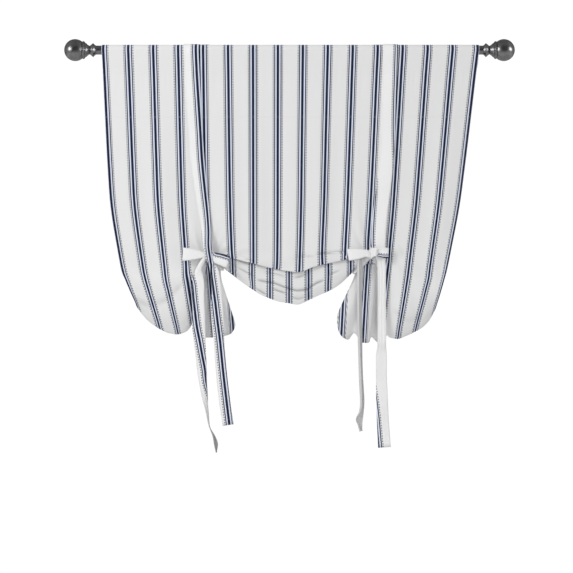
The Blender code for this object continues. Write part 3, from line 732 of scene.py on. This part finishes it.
def strip_sides(spots):
    """Across the strip and out of it at each spot: in the plane that faces front, then twisted."""
    sides, last = [], Vector((1, 0, 0))
    for j in range(len(spots)):
        ahead = spots[min(j + 1, len(spots) - 1)][:3] - spots[max(j - 1, 0)][:3]
        tangent = Vector(ahead).normalized()
        side = Vector((0, 1, 0)).cross(tangent)
        if side.length < 0.3:
            side = last - tangent * last.dot(tangent)
        if side.dot(last) < 0:
            side = -side
        side.normalize()
        last = side
        twisted = Matrix.Rotation(math.radians(spots[j][4]), 3, tangent) @ side
        sides.append((tuple(twisted), tuple(twisted.cross(tangent).normalized())))
    return np.array(sides)


print("cut width of a tie", TIE_WIDTH)

# %% Ribbons of cloth
ROLLS = np.linspace(0.001, 2.6, 300)    # half the angle that a rolled strip turns through
CHORDS = np.sin(ROLLS) / ROLLS          # its width then, as a share of the cut width
tie_hems = []


def ribbon(name, stops, replaced, across=14):
    """Stops: x, y, z, width, twist, stripe's place from the middle in mm, squeeze, roll and how much
    painted shade darkens the cloth there. Stops: x, y, z, width, twist, stripe's place from the
    middle in mm, squeeze, roll and how grey the cloth is, where its wrong side shows."""
    plain = (0.0, 0.0, 0.0, 1.0, 0.0, 0.0)
    path = np.array([tuple(stop) + plain[len(stop) - 3:] for stop in stops], float)
    t = np.arange((len(path) - 1) * STEPS_PER_STOP + 1) / STEPS_PER_STOP
    spots = smooth_path(path, t)
    sides = strip_sides(spots)
    part = np.linspace(-0.5, 0.5, across + 1)
    places = np.zeros((len(spots), across + 1, 3))
    count = np.zeros((len(spots), across + 1))
    for j, spot in enumerate(spots):
        side, out = sides[j]
        width = max(spot[3], 4.0)
        cut = width + max(0.0, spot[7]) * max(0.0, TIE_WIDTH / MM - width)
        half = float(np.interp(-width / cut, -CHORDS, ROLLS))
        bend = cut / (2 * half)
        sideways = bend * np.sin(part * 2 * half)
        rolled = bend * (np.cos(part * 2 * half) - math.cos(half)) - 0.5 * bend * (1 - math.cos(half))
        gather = 1.4 * ramp(TIE_WIDTH / MM - cut, 6, 28)
        ridge = gather * np.sin(part * 19 + 0.5 * math.sin(t[j] * 2.1))
        lift = EDGE_TURN * (np.abs(part) * 2) ** 4 * 0.25 + ridge
        wander = 0.5 * np.sin(t[j] * 2.3 + part * 3.0)
        places[j] = (spot[:3] + side * sideways[:, None]
                     + out * (lift + rolled + wander)[:, None])
        count[j] = (part * cut - spot[5]) / (spot[6] * PITCH / MM)
    places *= MM
    along = np.linalg.norm(np.diff(spots[:, :3], axis=0), axis=1)
    along = np.concatenate([[0], np.cumsum(along)]) * MM
    mesh = grid_mesh(name, places, count, np.repeat(along[:, None], across + 1, axis=1))
    # the last number of each stop, stored as "crease", is painted shade that darkens the tie's colour
    painted_shade_layer = mesh.attributes.new("crease", "FLOAT", "POINT")
    painted_shade_layer.data.foreach_set("value", np.repeat(spots[:, 8], across + 1).astype(np.float32))
    made = add_piece(name, mesh, "tie_cotton", tie_cotton)
    thicken(made)
    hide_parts(replaced)
    faces = sides[:, 1]
    to_front = -faces * np.sign(faces[:, 1:2] + 1e-9)
    for edge in (1, across - 1):
        tie_hems.append(places[:, edge] + to_front * STITCH_LIFT)
    print(name, "length", round(float(along[-1]), 3))
    return made, float(along[-1])


tie_cotton = ticking("tie_cotton", (0.87, 0.87, 0.873))
print("narrowest that a tie rolls", round(float(CHORDS[-1]), 2))

# %% Where the panel's front lies
front_columns = panel_spots[(panel_spans >= 1) & (panel_spans < 7)][:, ::3] / MM
CLEAR = 1.1 + 1.3                       # millimetres from the panel to a tie: the gap and its curl


def front_depth(x, z, half_width):
    """The front cloth's foremost y in millimetres over a width at one height."""
    nearest = 0.0
    close = (np.abs(front_columns[:, :, 0] - x) < half_width + 3) & (np.abs(front_columns[:, :, 2] - z) < 16)
    if close.any():
        nearest = float(front_columns[:, :, 1][close].min())
    return nearest


def front_strap(stations_down):
    """Stops over the pocket and down the panel, from (z, x, width, stripe's place) stations."""
    radius = POCKET_RADIUS / MM
    top, width, place = stations_down[0][1:]
    stops = [(top, -3.0, radius + CLEAR - 0.3, width, 0, place, 1),
             (top, -11.5, 11.8, width, 0, place, 1),
             (top, -radius - CLEAR, -4.0, width, 0, place, 1)]
    for z, x, width, place in stations_down[1:]:
        lift = 3.0 if z < -500 else 0
        depth = front_depth(x, z, width / 2) - CLEAR - lift
        stops.append((x, depth, z, width, 0, place, mix(0.8, 1, ramp(width, 28, 40))))
    return stops


print("front cloth read at", front_columns.shape[:2], "points")

# %% [markdown]
# ## The four tie ends
# The stops below follow each tie down from the pocket, through its knot and along its hanging end.
# A hanging end is never straight: it turns a little on itself, and where it turns it looks narrower.

# %% The front ties
# down the panel, a stop is (z, x, width, stripe's place)
LEFT_STRAP = ((14, -276, 44, 11.5), (-45, -275, 43, 12), (-85, -274, 43, 13), (-150, -271, 42, 14),
              (-230, -266, 41, 14), (-310, -260, 39, 12.5), (-390, -251, 36, 11), (-460, -241, 32, 8.5),
              (-510, -234, 28, 5))
left_front = front_strap(LEFT_STRAP)
left_front += [(-232, -33, -548, 25, 0, 3.5, 0.8), (-230, -36.5, -568, 21, 0, 3, 0.8),
               (-226, -37.5, -590, 17, 0, 2.5, 0.8), (-219, -38.5, -608, 16, 0, -1.5, 0.85),
               (-211, -38.5, -630, 25, 0, -9, 0.9), (-205, -37, -680, 26, 2, -8.5, 0.95),
               (-205, -35, -718, 33, 2, -3.5, 0.95),
               (-202, -31, -765, 34, -2, -1, 0.95), (-198.8, -27, -823, 30, 0, 3, 0.95),
               (-192.8, -23, -903, 31, 3, 5, 0.95), (-184, -21, -985, 32, 0, 5.5, 0.95),
               (-173, -19, -1060, 31.5, 0, 3.5, 0.95)]
left_front_tie, left_front_length = ribbon("left_front_ribbon", left_front, "left_front_tie")

RIGHT_STRAP = ((14, 285, 42, 22), (-45, 284, 42, 22), (-85, 283, 42, 22), (-150, 281, 42, 22),
               (-230, 278, 41, 24), (-310, 274, 40, 30), (-390, 266, 40, 40), (-460, 256, 41, 45.5),
               (-510, 252, 41, 46.5))
right_front = front_strap(RIGHT_STRAP)
right_front += [(250, -24.5, -545, 41, 0, 47.5), (252, -24.5, -568, 38, 0, 48.5),
                (258, -24.8, -594, 25, 0, 38), (260, -27.0, -628, 23.5, 0, 36),
                (260, -31, -690, 23, -6, 36), (260, -29, -750, 23.5, 4, 36), (260, -27, -812, 24, 8, 36),
                # a little painted shade along a crease across the end
                (260, -25.5, -838, 25.5, -10, 36, 1.0, 0.0, 0.12), (259, -24.5, -866, 31, 4, 36),
                (259, -22, -920, 31, -4, 38), (261, -21, -985, 33, 3, 46.5),
                (263, -20, -1040, 34, -3, 51), (268, -19, -1123, 36, 0, 53.5)]
right_front_tie, right_front_length = ribbon("right_front_ribbon", right_front, "right_front_tie")

# %% The bow of a back tie
PLAIN_PART = (35.3, 1.0)                # the plain cloth half a stripe away shows, its print unsqueezed


def bow_loop(knot, tip, neck, depths, print_part):
    """Stops from the knot out to a loop's tip (x, z, width) and back, one for each depth."""
    stops = []
    for t, y in zip((0.3, 0.6, 0.88, 1, 0.88, 0.6, 0.3), depths):
        stops.append((mix(knot[0], tip[0], t), y, mix(knot[1], tip[1], t),
                      mix(neck, tip[2], min(1, 1.3 * t)), 0) + print_part)
    return stops


def back_tie(knot, top, under, first_tip, second_tip, first_print, second_print, tail, wrap=()):
    """Down behind the panel, under the gathered cloth, through both loops of the bow to the tail."""
    x, z = knot
    start = POCKET_RADIUS / MM
    stops = [(top, 3.0, start + 1.6, 40, 0), (top, 12.0, 10.5, 40, 0), (top, start + 2.2, -4.0, 40, 0),
             (top, 11.5, -40.0, 38, 0), (top, 4.0, -90, 36, 0), (mix(top, x, 0.4), 8.0, -230, 34, 0),
             (mix(top, x, 0.8), 17.0, -400, 30, 0), (x, 30.0, -510, 24, 0),
             (mix(x, under[0], 0.5), 32.0, -585, 14, 0), (under[0], 24.0, under[1] + 2, 7, 0),
             (under[0], 6.0, under[1] - 1, 5, 0), (under[0], -12.0, under[1], 5, 0),
             (mix(x, under[0], 0.5), -17.5, mix(z, under[1], 0.55), 8, 0), (x, -25.6, z, 11, 0)]
    stops = [stop + PLAIN_PART for stop in stops]
    stops += bow_loop(knot, first_tip, 13, (-27.5, -28, -29, -32.5, -36, -36.5, -34.6), first_print)
    stops.append((x, -32.6, z, 12, 0) + PLAIN_PART)
    stops += [(x + dx, y, z + dz, width, 0) + PLAIN_PART for dx, y, dz, width in wrap]
    stops += bow_loop(knot, second_tip, second_tip[3],
                      (-34.6, -37, -36.5, -33.6, -30.8, -30.6, -30.2), second_print)
    stops.append((x, -29.6, z, 11, 0) + PLAIN_PART)
    return stops + tail


print("left knot at", LEFT_KNOT, "right knot at", RIGHT_KNOT)

# %% The back ties
# a tail's stops are x, y, z, width, twist, stripe's place, squeeze, roll, painted shade; the end may
# be left out
LEFT_TAIL = [(-243, -31, -596, 11, 0, 33, 1.0, 0.4), (-254, -33.5, -616, 15, 0, 30, 1.0, 0.3),
             (-257.5, -33.5, -638, 28, 0, 24, 1.0), (-258, -33.5, -662, 37, -2, 16.5, 0.95),
             (-257.5, -33.5, -702, 36, -2, 13, 0.95), (-255.5, -32.5, -741, 34, 2, 10.5, 0.95),
             (-255.5, -31, -781, 37, -2, 5.5, 0.95), (-253, -29.5, -823, 34, 2, 0, 0.95),
             (-250, -28, -863, 30, -6, -4, 0.9), (-247, -26.5, -903, 28, -8, -8.5, 0.9),
             (-242.5, -25, -945, 22.5, -20, -8.5, 0.85, 0.2),
             # towards its tip the left end turns away and takes more and more painted shade
             (-237, -24, -985, 18.5, -30, -17, 0.85, 0.2, 0.2),
             (-231.5, -23, -1024, 9, -50, -30, 0.9, 0.1, 0.4),
             (-226, -22, -1062, 3.2, -50, -35, 1.0, 0.0, 0.6),
             (-213.7, -21.5, -1092, 8.5, -30, -35, 1.0, 0.0, 1.1),
             (-207.5, -21, -1114, 11, -20, -35, 1.0, 0.0, 1.2),
             (-206.3, -21, -1137, 2.2, -20, -35, 1.0, 0.0, 1.2)]
RIGHT_TAIL = [(226, -26.8, -577, 9, -10), (208, -27.0, -577, 9, -20), (199, -27.6, -590, 10, -30),
              (196.5, -28.5, -625, 12, -45), (196.5, -31, -710, 12, -50), (197.5, -28, -823, 12, -60),
              (200, -25, -903, 11, -60), (203, -23, -965, 10, -60), (204, -22.5, -1000, 10, -50),
              (201.5, -22, -1024, 12, -30), (196, -21, -1043, 20, -15), (198, -21, -1056, 13, -15),
              (201.5, -21, -1077, 2, -15)]
# the right end rolls, and painted shade darkens it more and more on its way down
RIGHT_TAIL = [stop + PLAIN_PART + (0.6, min(0.55, 0.3 + n * 0.05)) for n, stop in enumerate(RIGHT_TAIL)]

left_back = back_tie(LEFT_KNOT, -248, (-191, -621), (-301, -578, 36), (-172, -599.5, 35, 20),
                     PLAIN_PART, (14, 0.8), LEFT_TAIL)
left_back_tie, left_back_length = ribbon("left_back_ribbon", left_back, "left_back_tie", across=10)
right_back = back_tie(RIGHT_KNOT, 262, (184, -630), (279, -575, 29), (165, -580, 33, 13),
                      (12.9, 0.8), PLAIN_PART, RIGHT_TAIL,
                      wrap=((-2, -35, 10, 15), (-1, -40.5, 11.5, 20), (-1, -41.5, 0, 20),
                            (-1, -40.5, -10, 20), (-2, -35.5, -10, 15)))
right_back_tie, right_back_length = ribbon("right_back_ribbon", right_back, "right_back_tie", across=10)

# %% [markdown]
# ## Dark metal
# The rod, its collars and the ball finials are turned and polished to a dark pewter. Sine waves
# along the axis make the fine turning lines, and a soft noise makes the polish a little uneven.

# %% Dark pewter
LATHE_STEP = 0.00075                    # metres between the turning lines
ROUGHNESS = 0.29


def pewter(name):
    made, tree, shader, word = new_material(name, Metallic=1.0, Specular_IOR_Level=0.5)
    place = word.node("ShaderNodeTexCoord")
    split = word.node("ShaderNodeSeparateXYZ", in0=Value(tree, place.outputs["Object"]))
    rings = (Value(tree, split.outputs[0]) * (2 * math.pi / LATHE_STEP)).sine()
    cloud = word.node("ShaderNodeTexNoise", Vector=Value(tree, place.outputs["Object"]), Scale=90.0,
                      Detail=4.0, Roughness=0.6)
    cloud = Value(tree, cloud.outputs[0])
    base = cloud.between(0.35, 0.7).blend((0.20, 0.20, 0.205), (0.25, 0.25, 0.255))
    tree.links.new(base.socket, shader.inputs["Base Color"])
    rough = ROUGHNESS + (cloud - 0.5) * 0.14 + rings * 0.01
    tree.links.new(rough.socket, shader.inputs["Roughness"])
    bump = word.node("ShaderNodeBump", Strength=0.12, Distance=0.0002, Height=rings * 0.5 + cloud)
    tree.links.new(bump.outputs[0], shader.inputs["Normal"])
    return made


dark_pewter = pewter("dark_pewter")
print("pewter roughness", ROUGHNESS)

# %% [markdown]
# ## Turned pieces
# A lathe makes each of these, so each is drawn as half a profile and turned round the rod's axis.
# The edges of the profile are eased with small chamfers, which catch the light as real ones do.

# %% Turning a profile
# millimetres: radii, and places along the rod from its middle or from the collar's inner face
COLLAR_INNER, COLLAR_LENGTH, COLLAR_PEAK = 547.0, 18.5, 19.5
ROD, BORE, PLUG, BALL, BALL_CENTRE = 12.7, 5.3, 11.6, 31.0, 59.5
BALL_STEPS = 28


def turned(name, profile, replaced, start, side, closed, steps=112):
    """Turns a profile of (distance along the rod, radius) in millimetres; its place is in its mesh."""
    form = bmesh.new()
    angle = 2 * math.pi / steps
    rings = []
    for along_rod, radius in profile:
        x = side * (start + along_rod)
        if radius < 1e-6:
            rings.append([form.verts.new((x * MM, 0, 0))] * steps)
        else:
            rings.append([form.verts.new((x * MM, radius * MM * math.cos(angle * k),
                                          radius * MM * math.sin(angle * k))) for k in range(steps)])
    pairs = list(zip(rings, rings[1:])) + ([(rings[-1], rings[0])] if closed else [])
    for one, two in pairs:
        for k in range(steps):
            corners = [one[k], one[(k + 1) % steps], two[(k + 1) % steps], two[k]]
            unique = [c for n, c in enumerate(corners) if c not in corners[:n]]
            if len(unique) > 2:
                form.faces.new(unique)
    bmesh.ops.recalc_face_normals(form, faces=form.faces)
    for face in form.faces:
        face.smooth = True
    mesh = bpy.data.meshes.new(name)
    form.to_mesh(mesh)
    form.free()
    mesh.set_sharp_from_angle(angle=math.radians(38))
    made = add_piece(name, mesh, "dark_pewter", dark_pewter)
    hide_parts(replaced)
    print(name, "faces", len(mesh.polygons))


print("rod between the collars", 2 * COLLAR_INNER)


# %% Easing its corners
def eased(profile, cut):
    """Cuts each inner corner of an open profile with a short chamfer."""
    points = [Vector(p) for p in profile]
    result = [tuple(points[0])]
    for before, corner, after in zip(points, points[1:], points[2:]):
        turn = (corner - before).angle(after - corner, 0.0)
        reach = min(cut, (corner - before).length * 0.4, (after - corner).length * 0.4)
        if turn > 0.25 and corner[1] > 1e-6:
            result.append(tuple(corner - (corner - before).normalized() * reach))
            result.append(tuple(corner + (after - corner).normalized() * reach))
        else:
            result.append(tuple(corner))
    return result + [tuple(points[-1])]


print("points of an eased corner", len(eased([(0, 1), (1, 1), (1, 2)], 0.1)) - 2)

# %% Turned pieces
collar = [(-16, BORE), (-16, PLUG), (0.3, PLUG), (0.3, ROD), (1.2, ROD + 0.7), (2.4, ROD + 0.9),
          (7.6, COLLAR_PEAK - 0.8), (8.4, COLLAR_PEAK), (9.6, COLLAR_PEAK - 0.4),
          (17.0, 12.9), (COLLAR_LENGTH, 12.3), (COLLAR_LENGTH, BORE)]
neck = COLLAR_LENGTH + 0.3
finial = [(-12, 0), (-12, 4.2), (-11.2, 5.0), (neck, 5.0), (neck, 12.0), (neck + 2, 13.2),
          (neck + 6, 15.9), (neck + 10, 20.0), (neck + 12.2, 20.0), (neck + 12.6, 21.8),
          (neck + 15, 24.6), (neck + 19, 25.6)]
ball_start = math.acos((neck + 19.6 - BALL_CENTRE) / BALL)
for n in range(BALL_STEPS + 1):
    angle = ball_start * (1 - n / BALL_STEPS)
    finial.append((BALL_CENTRE + BALL * math.cos(angle), BALL * math.sin(angle) if n < BALL_STEPS else 0))
tube = [(-COLLAR_INNER, ROD - 0.8), (-COLLAR_INNER, ROD), (COLLAR_INNER, ROD), (COLLAR_INNER, ROD - 0.8)]
turned("rod", tube, "rod_tube", 0, 1, True, 96)
for name, side in (("left", -1), ("right", 1)):
    turned(name + "_collar", eased(collar, 0.35), name + "_rod_collar", COLLAR_INNER, side, True)
    turned(name + "_ball_finial", eased(finial, 0.3), name + "_finial", COLLAR_INNER, side, False)

# %% [markdown]
# ## Stitches
# Lines of lockstitch close the pocket and hold the hems. A stitch is a tiny rod of thread, repeated
# hundreds of times along a path, which is what Geometry Nodes are for: a curve is sampled at the
# stitch's spacing, an instance is set on each point, and the result is made real.

# %% Thread
thread, thread_tree, thread_shader, thread_word = new_material("white_thread", Specular_IOR_Level=0.2)
thread_place = thread_word.node("ShaderNodeTexCoord")
thread_noise = thread_word.node("ShaderNodeTexNoise", Scale=900.0, Detail=2.0,
                                Vector=Value(thread_tree, thread_place.outputs["Object"]))
thread_mix = Value(thread_tree, thread_noise.outputs[0]).blend((0.58, 0.58, 0.585), (0.7, 0.7, 0.7))
thread_tree.links.new(thread_mix.socket, thread_shader.inputs["Base Color"])
print("thread colour ready")


# %% Stitch tree
def stitch_tree():
    tree = bpy.data.node_groups.new("stitch_line", "GeometryNodeTree")
    face = tree.interface
    face.new_socket("Path", in_out="INPUT", socket_type="NodeSocketGeometry")
    for label in ("Stitch spacing", "Stitch length", "Thread radius"):
        face.new_socket(label, in_out="INPUT", socket_type="NodeSocketFloat")
    face.new_socket("Thread", in_out="INPUT", socket_type="NodeSocketMaterial")
    face.new_socket("Stitches", in_out="OUTPUT", socket_type="NodeSocketGeometry")
    entry, leave = tree.nodes.new("NodeGroupInput"), tree.nodes.new("NodeGroupOutput")
    curve = tree.nodes.new("GeometryNodeMeshToCurve")
    points = tree.nodes.new("GeometryNodeCurveToPoints")
    points.mode = "LENGTH"
    stitch = tree.nodes.new("GeometryNodeMeshCylinder")
    stitch.inputs["Vertices"].default_value = 5
    place = tree.nodes.new("GeometryNodeInstanceOnPoints")
    real = tree.nodes.new("GeometryNodeRealizeInstances")
    paint = tree.nodes.new("GeometryNodeSetMaterial")
    turn = tree.nodes.new("FunctionNodeAlignEulerToVector")
    turn.axis = "Z"
    for source, output, target, into in (
            (entry, "Path", curve, "Mesh"), (curve, "Curve", points, "Curve"),
            (entry, "Stitch spacing", points, "Length"), (entry, "Thread radius", stitch, "Radius"),
            (entry, "Stitch length", stitch, "Depth"), (points, "Points", place, "Points"),
            (stitch, "Mesh", place, "Instance"), (points, "Tangent", turn, "Vector"),
            (turn, "Rotation", place, "Rotation"), (place, "Instances", real, "Geometry"),
            (real, "Geometry", paint, "Geometry"), (entry, "Thread", paint, "Material"),
            (paint, "Geometry", leave, "Stitches")):
        tree.links.new(source.outputs[output], target.inputs[into])
    return tree


stitches = stitch_tree()
print("stitch tree nodes", len(stitches.nodes))


# %% Lines of stitches
def stitch_line(name, paths, slot, spacing=0.0036, length=0.0026, radius=0.00028):
    """Stitches along each path of points in metres, as one plain mesh."""
    mesh = bpy.data.meshes.new(name + "_path")
    points, edges = [], []
    for path in paths:
        first_index = len(points)
        points += [tuple(p) for p in path]
        edges += [(first_index + k, first_index + k + 1) for k in range(len(path) - 1)]
    mesh.from_pydata(points, edges, [])
    holder = bpy.data.objects.new(name + "_path", mesh)
    bpy.context.scene.collection.objects.link(holder)
    modifier = holder.modifiers.new("stitches", "NODES")
    modifier.node_group = stitches
    values = {"Stitch spacing": spacing, "Stitch length": length, "Thread radius": radius,
              "Thread": thread}
    for item in stitches.interface.items_tree:
        if item.item_type == "SOCKET" and item.in_out == "INPUT" and item.name in values:
            modifier[item.identifier] = values[item.name]
    evaluated = holder.evaluated_get(bpy.context.evaluated_depsgraph_get())
    result = bpy.data.meshes.new_from_object(evaluated)
    bpy.data.objects.remove(holder, do_unlink=True)
    result.name = name
    add_piece(name, result, slot)
    print(name, "triangles", sum(len(p.vertices) - 2 for p in result.polygons))


# %% Stitching across the front
# the row of the control point 190 mm down, which is lower than the flap's edge at SEAM_Z
seam_row = int(np.argmin(np.abs(panel_spans - 3.0)))
seam = panel_spots[seam_row].copy()
seam[:, 1] -= STITCH_LIFT
stitch_line("pocket_stitches", [seam], "striped_cotton")
print("stitched row in millimetres", round(float(np.median(seam[:, 2])) / MM, 1), "flap's edge", SEAM_Z)

# %% [markdown]
# ## The hems' stitches
# A hem is turned in and sewn down, which leaves a line of stitches beside the edge. The panel's run
# down one column of its grid near each side, and the ties' paths were kept while they were swept.
# Both are lifted off the cloth by a hair, so that the thread lies on it.

# %% Stitching the hems
HEM_IN = 0.14                           # stripes from the panel's edge to its hem's stitches
HEM_STITCH = {"spacing": 0.0042, "length": 0.0028}
side_hems = []
for stripe_place in (STRIPE_EDGES[0] + HEM_IN, STRIPE_EDGES[1] - HEM_IN):
    column = int(np.argmin(np.abs(columns - stripe_place)))
    path = panel_spots[seam_row:, column].copy()
    across_edge = panel_spots[seam_row:, column + 1] - panel_spots[seam_row:, column - 1]
    down = np.gradient(path, axis=0)
    outward = np.cross(across_edge, down)
    outward /= np.linalg.norm(outward, axis=1)[:, None]
    side_hems.append(path + outward * np.sign(-outward[:1, 1:2]) * STITCH_LIFT)
stitch_line("side_hem_stitches", side_hems, "striped_cotton", **HEM_STITCH)
stitch_line("tie_hem_stitches", tie_hems, "tie_cotton", radius=0.00022, **HEM_STITCH)

# %% [markdown]
